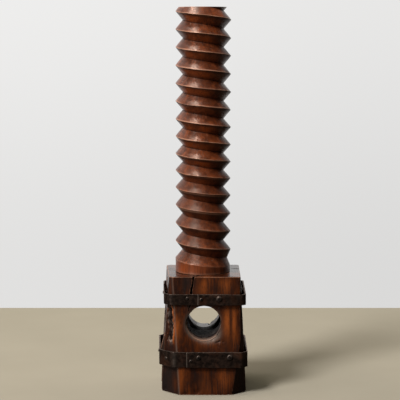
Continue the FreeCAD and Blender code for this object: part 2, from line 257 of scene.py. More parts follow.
def cut_by_hand(place):
    """Where a point of the true helix lies on the hand-cut one."""
    turns, around = turns_from_groove(place)
    groove = round(turns)
    across = abs(turns - groove)
    from_start = groove + around
    depth = smooth_step(-0.36, 0.36, from_start)
    radius = CREST_RADIUS - THREAD_DEPTH * depth * (1 - 2 * across)

    heading = Vector((place.x, place.y, 0)).normalized()
    spot = heading * CREST_RADIUS + Vector((0, 0, place.z))
    crest = smooth_step(0.40, 0.5, across) * depth
    worn = as_share(noise.noise(spot * 24))
    nicks = smooth_step(0.25, 0.6, noise.noise(spot * 65 + Vector((3, 1, 7))))
    dents = 0.0007 + 0.0007 * noise.noise(spot * 38 + Vector((9, 0, 0)))
    radius -= crest * (0.0008 * worn + 0.0016 * nicks)
    radius -= dents * (0.3 + 0.7 * depth)

    height = place.z + 0.0055 * bump_at(place.z, 0.655, 0.12) - 0.0028 * bump_at(place.z, 1.0, 0.17)
    wobble = 0.0016 * noise.noise(spot * 17) + 0.0005 * noise.noise(spot * 90)
    height += wobble * (0.4 + 0.6 * crest)
    return heading * radius + Vector((0, 0, height))


def make_screw(material):
    """Left-hand V thread, cut flat at the top, on a plain collar and a round tenon."""
    start = GROOVE_HEIGHT - SPARE_TURNS * PITCH
    profile = [(radius, 0, start + rise) for radius, rise in thread_profile()]
    screw = draw_line("press_screw_cut", profile)
    turns = math.ceil((TOP - start) / PITCH)
    add_modifier(screw, "SCREW", axis="Z", angle=-math.tau, screw_offset=PITCH, iterations=turns,
                 steps=STEPS_PER_TURN, render_steps=STEPS_PER_TURN, use_merge_vertices=True,
                 merge_threshold=1e-5)
    push(screw, lambda place, normal: cut_by_hand(place) - place)

    edit(screw)
    cut_level(TOP - 0.0004, clear_outer=True, use_fill=True)
    bpy.ops.mesh.inset(thickness=END_RIM, depth=0.0)
    bpy.ops.mesh.select_all(action="SELECT")
    cut_level(COLLAR_CUT, clear_inner=True)
    drop = (COLLAR_CUT - SHOULDER) / COLLAR_RINGS
    for _ in range(COLLAR_RINGS):
        extrude_selected((0, 0, -drop))
    extrude_selected((0, 0, 0))
    scale_selected((TENON_RADIUS / CREST_RADIUS, TENON_RADIUS / CREST_RADIUS, 1))
    extrude_selected((0, 0, TENON_FOOT - SHOULDER))
    bpy.ops.mesh.edge_face_add()
    leave_edit()
    tidy_mesh(screw)
    push(screw, wear_collar)
    paint(screw, screw_tones_and_painted_light)
    smooth_shading(screw, 38)
    stands_for(screw, "press_screw", material)


def wear_collar(place, normal):
    """Flats and dents on the collar, fading out into the thread."""
    if place.z < SHOULDER + 0.0005 or place.z > GROOVE_HEIGHT:
        return Vector((0, 0, 0))
    heading = Vector((place.x, place.y, 0)).normalized()
    share = 1 - smooth_step(COLLAR_CUT, GROOVE_HEIGHT, place.z)
    flats = as_share(noise.noise(heading * 2.6))
    dents = as_share(grain_noise(place, 60, 14))
    return heading * -(0.0005 * flats + 0.0004 * dents) * share


def screw_tones_and_painted_light(place, normal):
    """Painted shade under each crest and in the grooves, darker towards the foot; painted highlight
    along the crests; painted light on the lit front left flanks and the collar's left; painted shade
    on the collar."""
    turns, around = turns_from_groove(place)
    away = turns - round(turns)
    threaded = smooth_step(GROOVE_HEIGHT - 0.012, GROOVE_HEIGHT + 0.03, place.z)
    # Painted shade on the downward flank under each crest, lighter on the lit front left.
    under = smooth_step(0.22, 0.42, away) * (1 - smooth_step(0.465, 0.488, away))
    lip_shadow = bump_at(away, 0.440, 0.032)
    # Painted shade in the grooves.
    groove = bump_at(away, 0.0, 0.05)
    patchy = as_share(noise.noise(place * 21))
    foot = 1 - smooth_step(0.60, 0.86, place.z)
    heading = place.xy.normalized()
    # Painted light on the front left, the side the light comes from.
    lit_front_left = smooth_step(0.45, 0.92, Vector((-0.5, -0.866)).dot(heading)) * (1 - 0.85 * foot)
    under *= (0.45 + 0.45 * patchy) * (1 - 0.5 * lit_front_left)
    dark = max(under, lip_shadow, groove * 0.30) * threaded
    # Painted light, warm and red, on the lit front left flanks.
    lit_flanks = smooth_step(0.02, 0.12, away) * (1 - smooth_step(0.32, 0.43, away)) * lit_front_left * threaded
    # Painted highlight along the crests.
    bare_and_lit = smooth_step(0.474, 0.498, abs(away)) * threaded * (0.5 + 0.5 * patchy)
    # Painted warm light on the collar's lit left side.
    left = smooth_step(0.2, 0.8, Vector((-0.9, -0.43)).dot(heading))
    collar = 1 - smooth_step(GROOVE_HEIGHT - 0.02, GROOVE_HEIGHT, place.z)
    warm = left * collar * (0.6 + 0.5 * noise.noise(place * 33))
    warm = max(warm, lit_flanks * (0.25 + 0.75 * smooth_step(0.35, 0.65, patchy)))
    dark = max(dark, threaded * foot * (0.16 + 0.30 * patchy))
    # Painted shade on the collar, deepest where it meets the head.
    dark = max(dark, collar * (0.40 + 0.3 * (1 - smooth_step(0.0, 0.010, place.z - SHOULDER))))
    return min(dark, 1.0), max(min(warm, 1.0), 0.0), min(bare_and_lit, 1.0)


# -------------------- head block


def front_of(height):
    """Where the tapered front face stands at a height."""
    return FRONT_AT_FOOT + (FRONT_AT_SHOULDER - FRONT_AT_FOOT) * height / SHOULDER


GOUGE_MIDDLE = Vector((-0.106, -0.120))
GOUGE_ACROSS = Vector((1, -1)).normalized()
GOUGE_DEPTH = 0.0105


def gouge_place(place):
    """1 along the torn hollow and 0 above and below it, and how far right of its edge a point is."""
    along = smooth_step(0.164, 0.190, place.z) * (1 - smooth_step(0.286, 0.312, place.z))
    side = (place.xy - GOUGE_MIDDLE).dot(GOUGE_ACROSS)
    side += 0.007 * noise.noise(Vector((0, 0, place.z * 24)))
    side += 0.0045 * noise.noise(Vector((4, 0, place.z * 85)))
    edge = 0.0065 - 0.006 * smooth_step(0.250, 0.300, place.z)
    edge -= 0.003 * smooth_step(0.20, 0.165, place.z)
    return along, side - edge


def gouge_depth(place):
    """The long torn hollow in the front left corner's flat: steep at its right, ragged at its left."""
    if place.x > -0.07 or place.y > -0.07:
        return 0.0
    along, side = gouge_place(place)
    across = (1 - smooth_step(-0.0040, 0.0010, side)) * smooth_step(-0.030, -0.009, side)
    ragged = 1 + 0.5 * grain_noise(place, 110, 32)
    splinters = 1 + 0.55 * noise.noise(Vector((side * 400, 0, place.z * 14)))
    return along * across * ragged * splinters * GOUGE_DEPTH


def facet_edge(place):
    """1 along the arris between the front face and the flat at the front left corner."""
    if place.y > -0.11:
        return 0.0
    foot, waist, shoulder = -0.081, -0.092, -0.104
    waist_height = 0.190
    if place.z < waist_height:
        edge = foot + (waist - foot) * place.z / waist_height
    else:
        edge = waist + (shoulder - waist) * (place.z - waist_height) / (SHOULDER - waist_height)
    return bump_at(place.x, edge, 0.0028)


RIM_DEPTH = 0.010
RIM_REACH = 0.030


def rim_depth(place):
    """Wear round the bar holes' mouths, deepest along the lower lips."""
    depth = 0.0
    faces = (
        (place.y - front_of(place.z), place.x - BAR_HOLE_X),
        (-front_of(place.z) - place.y, place.x - BAR_HOLE_X),
        (RIGHT_SIDE - place.x, place.y),
        (place.x - LEFT_SIDE, place.y),
    )
    for inwards, across in faces:
        away = math.hypot(across, place.z - BAR_HOLE_Z) - BAR_HOLE_RADIUS
        if away > RIM_REACH or inwards > RIM_REACH:
            continue
        lean = math.atan2(place.z - BAR_HOLE_Z, across)
        lower = 0.08 + 0.92 * (1 - smooth_step(-0.8, 0.3, math.sin(lean + 0.45)))
        wide = 0.010 + 0.006 * bump_at(lean, -0.9, 0.7)
        depth = max(depth, lower * bump_at(away, 0, wide) * bump_at(max(inwards, 0), 0, 0.012))
    return RIM_DEPTH * depth


def back_notch(place):
    """1 in the small split in the bar hole's floor at its back end."""
    if place.y < 0.07 or not 0.178 <= place.z <= 0.215:
        return 0.0
    wander = 0.0015 * noise.noise(Vector((0, place.y * 60, 2)))
    return bump_at(place.x, 0.0215 + wander, 0.0032) * smooth_step(0.075, 0.095, place.y)


def hew(place, normal):
    """Axe and plane marks, open grain, worn mouths, the gouge, the notch and small chips."""
    upright = 1 - abs(normal.z)
    broad = as_share(grain_noise(place, 11, 6))
    scoops = as_share(grain_noise(place, 26, 13))
    ridges = as_share(grain_noise(place, 85, 6))
    fine = as_share(grain_noise(place, 190, 14))
    depth = 0.0012 * broad + 0.0007 * scoops
    depth += upright * (0.0009 * ridges + 0.0004 * fine)
    depth += gouge_depth(place) + rim_depth(place) + 0.007 * back_notch(place)
    chipped = bump_at((place.xy - Vector((0.048, -0.138))).length, 0, 0.022)
    chipped *= bump_at(place.z, 0.188, 0.016)
    depth += 0.004 * chipped * smooth_step(0.1, 0.45, noise.noise(place * 120))
    foot = 1 - smooth_step(0.0, 0.03, place.z)
    broken = smooth_step(0.0, 0.5, noise.noise(place * 40 + Vector((5, 5, 5))))
    depth += 0.0025 * foot * upright * broken
    return normal * -depth


# How wide a crack's blade is at its mouth, half way in and at its tip, as shares of its width.
BLADE_TAPER = (1.0, 0.6, 0.12)


def carve_crack(block, name, places, width, depth, inside):
    """A drying crack along places on the surface, cut as a jagged blade that thins inwards."""
    blade = draw_line(name, places)
    edit(blade)
    extrude_selected(Vector(depth) * 0.5)
    extrude_selected(Vector(depth) * 0.5)
    leave_edit()
    mouth = blade.vertex_groups.new(name="mouth")
    count = len(places)
    for index in range(count):
        share = math.sin(math.pi * (index + 0.6) / (count + 0.2)) ** 0.7
        for row, fade in enumerate(BLADE_TAPER):
            mouth.add([index + row * count], share * fade, "REPLACE")
    add_modifier(blade, "SOLIDIFY", thickness=width, offset=0.0, vertex_group="mouth",
                 thickness_vertex_group=0.06, use_even_offset=False)
    tidy_mesh(blade, 1e-7)
    # The crack's walls take the black painted-shade finish.
    blade.data.materials.append(inside)
    add_modifier(block, "BOOLEAN", operation="DIFFERENCE", object=blade, solver="EXACT",
                 material_mode="TRANSFER")
    bpy.data.objects.remove(blade, do_unlink=True)


def jagged(start, end, count, sway, seed):
    """Places along a line that wander to either side of it."""
    start, end = Vector(start), Vector(end)
    run = (end - start).normalized()
    side = Vector((0, 1, 0)).cross(run) if abs(run.z) > 0.5 else Vector((0, 0, 1)).cross(run)
    places = []
    for index in range(count):
        share = index / (count - 1)
        wander = noise.noise(Vector((share * 4.1, seed, 0.5))) * sway
        places.append(start.lerp(end, share) + side.normalized() * wander)
    return places


def in_bore(place):
    """How far a point on the wall of either bar hole is inside it, 0 at the mouths and 1 well in."""
    mouth = 0.136
    # The walls are worn, so they lie a little outside the radius.
    reach = BAR_HOLE_RADIUS + 0.0022
    deep = 0.0
    if math.hypot(place.x - BAR_HOLE_X, place.z - BAR_HOLE_Z) < reach:
        deep = max(deep, smooth_step(0.010, 0.026, mouth - abs(place.y)))
    if math.hypot(place.y, place.z - BAR_HOLE_Z) < reach:
        deep = max(deep, smooth_step(0.010, 0.026, mouth - abs(place.x)))
    return deep


# Each mark on the front, stains and in the dark list one painted shadow: middle X and Z, half width,
# half height, strength.
DARK_STAINS_AND_SHADOW = (
    (-0.058, 0.372, 0.022, 0.040, 1.0),
    (-0.050, 0.300, 0.012, 0.030, 0.8),
    # This low, wide band just under the upper strap is painted shadow.
    (-0.004, 0.310, 0.050, 0.010, 0.8),
    (0.092, 0.250, 0.005, 0.070, 0.9),
    (-0.010, 0.062, 0.034, 0.030, 0.55),
    (0.105, 0.200, 0.010, 0.060, 0.4),
    (0.046, 0.372, 0.006, 0.040, 0.5),
    (0.050, 0.360, 0.070, 0.026, 0.45),
    (0.010, 0.045, 0.080, 0.050, 0.45),
    (0.068, 0.310, 0.008, 0.030, 0.5),
    (-0.072, 0.190, 0.010, 0.018, 0.5),
)
WARM_STAINS = (
    (0.072, 0.375, 0.020, 0.030, 0.6),
    (0.000, 0.365, 0.018, 0.030, 0.55),
    (0.078, 0.235, 0.012, 0.060, 0.9),
    (0.104, 0.240, 0.010, 0.060, 1.0),
    (-0.088, 0.230, 0.014, 0.050, 0.6),
    (0.070, 0.060, 0.026, 0.040, 0.6),
    (-0.075, 0.060, 0.012, 0.045, 0.6),
    (0.020, 0.180, 0.050, 0.020, 0.4),
)


def strongest_mark(place, ragged, tone_marks):
    """The strongest of some soft, ragged marks at a place on the front."""
    nearest = 0.0
    for x, z, wide, tall, strength in tone_marks:
        near = bump_at(place.x + 0.006 * ragged, x, wide) * bump_at(place.z + 0.02 * ragged, z, tall)
        nearest = max(nearest, near * strength)
    return nearest


def head_stains_and_painted_light(place, normal):
    """Tones painted on the head: dark marks with one painted shadow, orange marks, painted shade and
    painted highlights, and bare torn wood.
    """
    grain = as_share(grain_noise(place, 55, 4))
    ragged = grain_noise(place, 30, 14)
    front = smooth_step(0.3, 0.8, -normal.y)
    dark = strongest_mark(place, ragged, DARK_STAINS_AND_SHADOW) * front * (0.65 + 0.5 * grain)
    warm = strongest_mark(place, ragged, WARM_STAINS) * front * (0.45 + 0.8 * grain)
    back_end = smooth_step(POLISHED_FROM - 0.01, POLISHED_FROM + 0.01, place.y)
    # Painted shade inside the bar holes, half as dark at their back end.
    dark = max(dark, in_bore(place) * (1 - 0.5 * back_end))
    # The bar holes' worn lips are painted pale: worn wood with a painted highlight.
    lip = min(rim_depth(place) / 0.0042, 1.0)
    torn = min(gouge_depth(place) / 0.008, 1.0)
    # The gouge's torn right edge is painted warm and light: torn wood with a painted highlight.
    torn_edge_highlight = 0.0
    if place.x < -0.07 and place.y < -0.07:
        along, side = gouge_place(place)
        torn_edge_highlight = along * bump_at(side, 0.0035, 0.0052) * (1.0 + 0.5 * ragged)
    # Painted highlight along the front left arris.
    arris = facet_edge(place) * (0.4 + 0.6 * grain)
    speckle = grain_noise(place, 130, 60)
    flecks = smooth_step(0.05, 0.40, speckle)
    bare_and_lit = max(lip, arris * 0.6, smooth_step(0.12, 0.4, torn) * flecks * 0.7)
    warm = max(warm, torn_edge_highlight)
    # Painted shade in the gouge's hollow, broken by pale flecks of torn wood.
    dark = max(dark * (1 - arris), smooth_step(0.30, 0.6, torn) * (1 - flecks))
    # Painted shade on the front left flat, deepest low down and lifted where the torn edge is lit.
    facet = smooth_step(0.35, 0.6, -normal.x) * smooth_step(0.35, 0.6, -normal.y)
    shaded = 0.50 + 0.38 * (1 - smooth_step(0.10, 0.17, place.z))
    dark = max(dark, facet * (shaded + 0.7 * ragged) * (1 - min(1.5 * torn_edge_highlight, 1.0)))
    # Painted shade on the front right flat, which faces away from the light.
    shaded_right_facet = smooth_step(0.35, 0.6, normal.x) * smooth_step(0.35, 0.6, -normal.y)
    dark = max(dark, shaded_right_facet * (0.45 + 0.4 * ragged))
    return max(min(dark, 1.0), 0.0), max(min(warm, 1.0), 0.0), min(bare_and_lit, 1.0)


def shade_the_bores(head, slot_index):
    """Give the notch and the bar holes' walls, but for their back end, the cracks' black painted-shade
    finish.
    """
    for polygon in head.data.polygons:
        centre = polygon.center
        in_shade = centre.y < POLISHED_FROM and in_bore(centre) > 0.35
        if in_shade or back_notch(centre) > 0.35:
            polygon.material_index = slot_index


def make_head(material, inside):
    """Tapered block with its bar holes, hewn, worn and cracked."""
    head = worked_copy("screw_head", "screw_head_hewn", HEAD_VOXEL)
    head.data.materials.clear()
    head.data.materials.append(material)
    add_modifier(head, "SMOOTH", factor=0.5, iterations=2)
    push(head, hew)
    # The blades start this far outside the timber.
    proud = 0.004
    top = SHOULDER + proud
    front = front_of(SHOULDER) - proud
    under_strap = (-0.047, front_of(0.29) - proud, 0.285)
    top_left = jagged((-0.012, -0.088, top), (-0.036, front, top), 7, 0.004, 1.0)
    down_front = jagged((-0.034, front, top), under_strap, 14, 0.007, 2.0)
    top_right = jagged((0.097, 0.040, top), (0.131, 0.041, top), 6, 0.001, 3.0)
    carve_crack(head, "crack_top_left", top_left, 0.0095, (0, 0, -0.030), inside)
    carve_crack(head, "crack_front", down_front, 0.0088, (0, 0.034, 0), inside)
    carve_crack(head, "crack_top_right", top_right, 0.0085, (0, 0, -0.028), inside)
    tidy_mesh(head, 1e-6)
    paint(head, head_stains_and_painted_light)
    shade_the_bores(head, 1)
    smooth_shading(head, 50)
    stands_for(head, "screw_head")


# -------------------- iron straps


BEND_STEPS = 5
BEND_RADIUS = 0.009
ROUTE_SPACING = 0.009
LAP_GAP = 0.0003
STRAP_ROWS = 6
STRAP_MARGIN = 0.0008
# left_lean is how much nearer the axis a strap's left side is at the front than at the back.
STRAPS = {
    "upper": {"left_lean": 0.0074, "big_bend": 0.020, "bend": 0.010,
              "outer_end": -0.019, "inner_end": 0.085},
    "lower": {"left_lean": 0.0071, "big_bend": 0.046, "bend": 0.018,
              "outer_end": -0.057, "inner_end": 0.115},
}


def rounded_route(corners):
    """Places along an open route, with an arc at each inner corner and even steps between."""
    corners = [Vector(corner) for corner in corners]
    route = [corners[0]]
    for before, corner, after in zip(corners, corners[1:], corners[2:]):
        back = (before - corner).normalized()
        ahead = (after - corner).normalized()
        half_angle = back.angle(ahead) / 2
        reach = BEND_RADIUS / math.tan(half_angle)
        centre = corner + (back + ahead).normalized() * BEND_RADIUS / math.sin(half_angle)
        first = (corner + back * reach - centre).normalized()
        last = (corner + ahead * reach - centre).normalized()
        for step in range(BEND_STEPS + 1):
            route.append(centre + first.slerp(last, step / BEND_STEPS) * BEND_RADIUS)
    route.append(corners[-1])
    even = [route[0]]
    for before, after in zip(route, route[1:]):
        count = max(1, round((after - before).length / ROUTE_SPACING))
        for step in range(1, count + 1):
            even.append(before.lerp(after, step / count))
    return even


def strap_route(band):
    """The strap's middle line in plan, from its hidden inner end round to its outer end."""
    low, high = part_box(band + "_band")
    shape = STRAPS[band]
    half = STRAP_THICKNESS / 2
    over = low.y + half
    under = over + STRAP_THICKNESS + LAP_GAP
    right = high.x - half
    back = high.y - half
    left_back = low.x + half
    left_front = left_back + shape["left_lean"]
    big, small = shape["big_bend"], shape["bend"]
    corners = [
        (shape["inner_end"], under, 0),
        (left_front + big, under, 0),
        (left_front, under + big, 0),
        (left_back, back - small, 0),
        (left_back + small, back, 0),
        (right - small, back, 0),
        (right, back - small, 0),
        (right, over + small, 0),
        (right - small, over, 0),
        (shape["outer_end"], over, 0),
    ]
    return rounded_route(corners)


def make_strap(band, material):
    """Forged flat bar, bent round the head and lapped in front."""
    low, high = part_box(band + "_band")
    height = high.z - low.z - 2 * STRAP_MARGIN
    route = [place + Vector((0, 0, low.z + STRAP_MARGIN)) for place in strap_route(band)]
    strap = draw_line(band + "_band_forged", route)
    edit(strap)
    for _ in range(STRAP_ROWS):
        extrude_selected((0, 0, height / STRAP_ROWS))
    leave_edit()
    add_modifier(strap, "SOLIDIFY", thickness=STRAP_THICKNESS - 0.0006, offset=0.0,
                 use_even_offset=True)
    tidy_mesh(strap, 1e-7)
    add_modifier(strap, "BEVEL", width=0.0011, segments=2, limit_method="ANGLE",
                 angle_limit=math.radians(50))
    add_modifier(strap, "SUBSURF", levels=1, render_levels=1)
    middle = (low.z + high.z) / 2

    def forge(place, normal):
        """Wavy edges and hammer dents."""
        seed = Vector((place.x, place.y, 0 if band == "upper" else 5))
        wave = noise.noise(seed * 22) * 0.0007 * (place.z - middle) / (height / 2)
        dents = noise.noise(place * 75) * 0.00035 + noise.noise(place * 25) * 0.0003
        return Vector((0, 0, wave)) + normal * dents

    push(strap, forge)
    front = low.y + STRAP_THICKNESS
    lap_end = STRAPS[band]["outer_end"]
    bend = low.x + STRAP_THICKNESS + STRAPS[band]["left_lean"] + STRAPS[band]["big_bend"]
    edge = (high.z - low.z) / 2

    def lit_and_rusted_iron(place, normal):
        """Painted highlights at the lap's end and the front bend, arrises rubbed lighter with a
        painted highlight; rust in patches.
        """
        patchy = as_share(noise.noise(place * 55))
        # Painted highlight where light catches the lap's end.
        end = bump_at(place.x, lap_end, 0.0022) if place.y < front else 0.0
        # Painted highlight down the front bend.
        bent = bump_at(place.x, bend, 0.006) * patchy if place.y < front + 0.01 else 0.0
        # Arrises rubbed lighter, with a painted highlight.
        arris = smooth_step(edge - 0.0035, edge - 0.001, abs(place.z - middle)) * 0.35 * patchy
        rust = smooth_step(0.52, 0.75, as_share(noise.noise(place * 31 + Vector((2, 2, 2)))))
        return max(end, bent * 0.8, arris), rust, 0.0

    paint(strap, lit_and_rusted_iron)
    smooth_shading(strap, 40)
    stands_for(strap, band + "_band", material)


# -------------------- rivets, nails, wedges and peg


SHANK_RADIUS = 0.0030
SHANK_LENGTH = 0.050
FRONT, LEFT, RIGHT, BACK = (0, -1, 0), (-1, 0, 0), (1, 0, 0), (0, 1, 0)
SMALL, RIVET, LARGE = (0.006, 0.003), (0.008, 0.0045), (0.0105, 0.006)
FASTENERS = (
    ("upper_lap_rivet_left", FRONT, SMALL),
    ("upper_lap_rivet_right", FRONT, LARGE),
    ("lower_lap_rivet_left", FRONT, SMALL),
    ("lower_lap_rivet_middle", FRONT, RIVET),
    ("lower_lap_rivet_right", FRONT, LARGE),
    ("upper_front_nail", FRONT, SMALL),
    ("lower_corner_nail", (-1, -1, 0), SMALL),
    ("upper_side_nails", LEFT, SMALL),
    ("upper_side_nails", RIGHT, SMALL),
    ("upper_side_nails", BACK, SMALL),
    ("lower_side_nails", LEFT, SMALL),
    ("lower_side_nails", RIGHT, SMALL),
    ("lower_side_nails", BACK, SMALL),
)


def driven_point(node, outward, height):
    """Where a head sits on the iron: the middle of the CAD head's underside on that side."""
    places = [vertex.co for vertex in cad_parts[node].data.vertices]
    crown = max(place.dot(outward) for place in places)
    head = [place for place in places if place.dot(outward) > crown - height - 0.0002]
    middle = Vector([(min(values) + max(values)) / 2 for values in zip(*head)])
    return middle + outward * (crown - height - middle.dot(outward))


def forged_fastener(name, node, outward, radius, height, pointed, seed, material):
    """A hand-hammered domed head on a shank, which narrows to a point on a nail."""
    outward = Vector(outward).normalized()
    seat = driven_point(node, outward, height)
    bpy.ops.mesh.primitive_uv_sphere_add(segments=24, ring_count=14, radius=radius)
    piece = settle(bpy.context.object, name)
    edit(piece)
    cut_level(0, clear_inner=True, use_fill=True)
    bpy.ops.mesh.select_all(action="SELECT")
    scale_selected((1, 1, height / radius))
    leave_edit()
    shift = Vector((seed * 3.7, seed * 1.3, 0))

    def hammer(place, normal):
        """Facets struck into the dome and a rim that is not quite round."""
        around = Vector((place.x, place.y, 0)) / radius
        rim = 0.95 + 0.06 * noise.noise(around * 1.3 + shift)
        struck = 0.84 + 0.14 * noise.noise(around * 1.5 - shift)
        level = min(place.z / height, struck)
        dents = 0.03 * noise.noise(around * 3.5 + shift)
        return Vector((place.x * rim, place.y * rim, height * level * (1 - abs(dents)))) - place

    push(piece, hammer)
    select_where(piece, lambda place: place.z < height * 0.01)
    pick(piece)
    bpy.ops.object.mode_set(mode="EDIT")
    extrude_selected((0, 0, 0))
    width = SHANK_RADIUS / radius
    scale_selected((width, width, 1))
    extrude_selected((0, 0, -SHANK_LENGTH * 0.6))
    extrude_selected((0, 0, -SHANK_LENGTH * 0.4))
    point = 0.3 if pointed else 0.9
    scale_selected((point, point, 1))
    leave_edit()
    turn = outward.to_track_quat("Z", "Y").to_matrix().to_4x4()
    piece.data.transform(Matrix.Translation(seat) @ turn)
    tidy_mesh(piece, 1e-6)
    smooth_shading(piece, 40)
    stands_for(piece, node, material)


def make_fasteners(material):
    for seed, (node, outward, (radius, height)) in enumerate(FASTENERS):
        is_nail = "nail" in node
        side = {LEFT: "_left", RIGHT: "_right", BACK: "_back"}.get(outward, "")
        name = node + side + "_forged"
        forged_fastener(name, node, outward, radius, height, is_nail, seed, material)


def boxed_copy(node, name, wear, seed, tight=0.0):
    """A CAD wedge or peg with its edges eased and its faces split and dented along the grain."""
    piece = worked_copy(node, name, WEDGE_VOXEL)
    add_modifier(piece, "SMOOTH", factor=0.5, iterations=3)
    shift = Vector((seed, seed * 2, 0))

    def split(place, normal):
        ridges = as_share(noise.noise(Vector((place.x * 260, place.y * 260, place.z * 16)) + shift))
        broad = as_share(noise.noise(place * 60 + shift))
        return normal * -wear * (0.6 * ridges + 0.4 * broad)

    push(piece, split)
    inwards = -math.copysign(tight, piece.data.vertices[0].co.x) if tight else 0.0
    push(piece, lambda place, normal: Vector((inwards, 0, 0)))
    smooth_shading(piece, 50)
    return piece


# -------------------- shader working helpers


def feed(tree, socket, value):
    """Put a number, a colour or another node's output into a socket."""
    if isinstance(value, bpy.types.NodeSocket):
        tree.links.new(value, socket)
    else:
        socket.default_value = value


def add_node(tree, kind, inputs=None, **settings):
    """A shader node with its settings and with what goes into its inputs."""
    made = tree.nodes.new("ShaderNode" + kind)
    for key, value in settings.items():
        setattr(made, key, value)
    for key, value in (inputs or {}).items():
        feed(tree, made.inputs[key], value)
    return made


def sums(tree, operation, first, second=0.0, clamp=False):
    made = add_node(tree, "Math", {0: first, 1: second}, operation=operation, use_clamp=clamp)
    return made.outputs[0]


def spread(tree, value, low, high, to_low=0.0, to_high=1.0):
    """A smooth step from one range to another."""
    ranges = {"Value": value, "From Min": low, "From Max": high, "To Min": to_low, "To Max": to_high}
    return add_node(tree, "MapRange", ranges, interpolation_type="SMOOTHSTEP").outputs["Result"]


def stretched(tree, vector, scale, place=(0, 0, 0)):
    made = add_node(tree, "Mapping", {"Vector": vector, "Scale": scale, "Location": place})
    return made.outputs["Vector"]


def cloudy(tree, vector, scale, detail=4.0, roughness=0.55, distortion=0.0):
    made = add_node(tree, "TexNoise", {"Vector": vector, "Scale": scale, "Detail": detail,
                                       "Roughness": roughness, "Distortion": distortion})
    return made.outputs["Fac"]


def blend_colour(tree, share, first, second):
    return add_node(tree, "Mix", {0: share, 6: first, 7: second}, data_type="RGBA").outputs[2]


def lay_over(tree, colour, mask, strength, over):
    """Lay a colour over another one where a mask is high, at a share of the mask."""
    return blend_colour(tree, sums(tree, "MULTIPLY", mask, strength), colour, over)


def object_place(tree):
    return add_node(tree, "TexCoord").outputs["Object"]


def parts_of(tree, vector):
    return add_node(tree, "SeparateXYZ", {0: vector}).outputs


def painted_tones(tree):
    """The three tones that paint() stored for each vertex."""
    stored = add_node(tree, "Attribute", attribute_name="tone_marks")
    return add_node(tree, "SeparateColor", {0: stored.outputs["Color"]}).outputs


def new_group(name, inputs, outputs):
    """An empty shader group with named sockets; values carry their defaults."""
    tree = bpy.data.node_groups.new(name, "ShaderNodeTree")
    kinds = {"value": "NodeSocketFloat", "colour": "NodeSocketColor", "vector": "NodeSocketVector"}
    for label, (kind, default) in inputs.items():
        socket = tree.interface.new_socket(name=label, in_out="INPUT", socket_type=kinds[kind])
        if default is not None:
            socket.default_value = default
    for label, kind in outputs.items():
        tree.interface.new_socket(name=label, in_out="OUTPUT", socket_type=kinds[kind])
    start = tree.nodes.new("NodeGroupInput")
    end = tree.nodes.new("NodeGroupOutput")
    return tree, start.outputs, end.inputs


def use_group(tree, group, **values):
    """Place a group and feed its inputs."""
    return add_node(tree, "Group", values, node_tree=group).outputs


# -------------------- shared shader effects


def make_timber_grain():
    """Straight grain along Z: dark late-wood streaks, broad bands, open pores and their height."""
    tree, given, out = new_group(
        "timber_grain",
        {"Place": ("vector", None), "Fineness": ("value", 1.0), "Waviness": ("value", 0.5)},
        {"Streaks": "value", "Bands": "value", "Pores": "value", "Height": "value"},
    )
    place = given["Place"]
    sway = add_node(tree, "TexNoise", {"Vector": stretched(tree, place, (6, 6, 2.5)), "Scale": 1.0})
    moved = add_node(tree, "VectorMath", {0: sway.outputs["Color"], 1: (0.02, 0.02, 0.0), 2: place},
                     operation="MULTIPLY_ADD")
    swayed = moved.outputs["Vector"]
    fine = cloudy(tree, stretched(tree, swayed, (260, 260, 7)), given["Fineness"], 5.0, 0.6)
    broad = cloudy(tree, stretched(tree, swayed, (48, 48, 2.0)), given["Fineness"], 4.0, 0.5)
    pores = cloudy(tree, stretched(tree, swayed, (620, 620, 26)), given["Fineness"], 2.0, 0.5)
    patchy = cloudy(tree, stretched(tree, place, (22, 22, 6), (1.3, 0.2, 2.2)), 1.0, 4.0, 0.6)
    clear_patches = spread(tree, patchy, 0.34, 0.60, 0.25, 1.0)
    streaks = sums(tree, "MULTIPLY", spread(tree, fine, 0.42, 0.64), clear_patches)
    bands = spread(tree, broad, 0.36, 0.66)
    pore_mask = spread(tree, pores, 0.60, 0.72)
    hollow = sums(tree, "MULTIPLY", pore_mask, -0.8)
    ridges = sums(tree, "MULTIPLY", fine, given["Waviness"])
    feed(tree, out["Streaks"], streaks)
    feed(tree, out["Bands"], bands)
    feed(tree, out["Pores"], pore_mask)
    feed(tree, out["Height"], sums(tree, "ADD", ridges, hollow))
    return tree


def make_edge_wear_and_shade():
    """Where an outer edge is rubbed, partly as a painted highlight, and where an inner corner takes
    painted shade.
    """
    tree, given, out = new_group(
        "edge_wear_and_shade",
        {"Place": ("vector", None), "Reach": ("value", 0.06), "Break up": ("value", 0.5)},
        {"Rubbed and lit": "value", "Shaded corners": "value"},
    )
    bend = add_node(tree, "NewGeometry").outputs["Pointiness"]
    patchy = cloudy(tree, given["Place"], 38.0, 4.0, 0.6)
    strength = sums(tree, "MULTIPLY", given["Break up"], given["Reach"])
    offset = sums(tree, "MULTIPLY", sums(tree, "SUBTRACT", patchy, 0.5), strength)
    outer = sums(tree, "ADD", sums(tree, "SUBTRACT", bend, 0.5), offset)
    inner = sums(tree, "ADD", sums(tree, "SUBTRACT", 0.5, bend), offset)
    half = sums(tree, "MULTIPLY", given["Reach"], 0.25)
    feed(tree, out["Rubbed and lit"], spread(tree, outer, half, given["Reach"]))
    feed(tree, out["Shaded corners"], spread(tree, inner, half, given["Reach"]))
    return tree


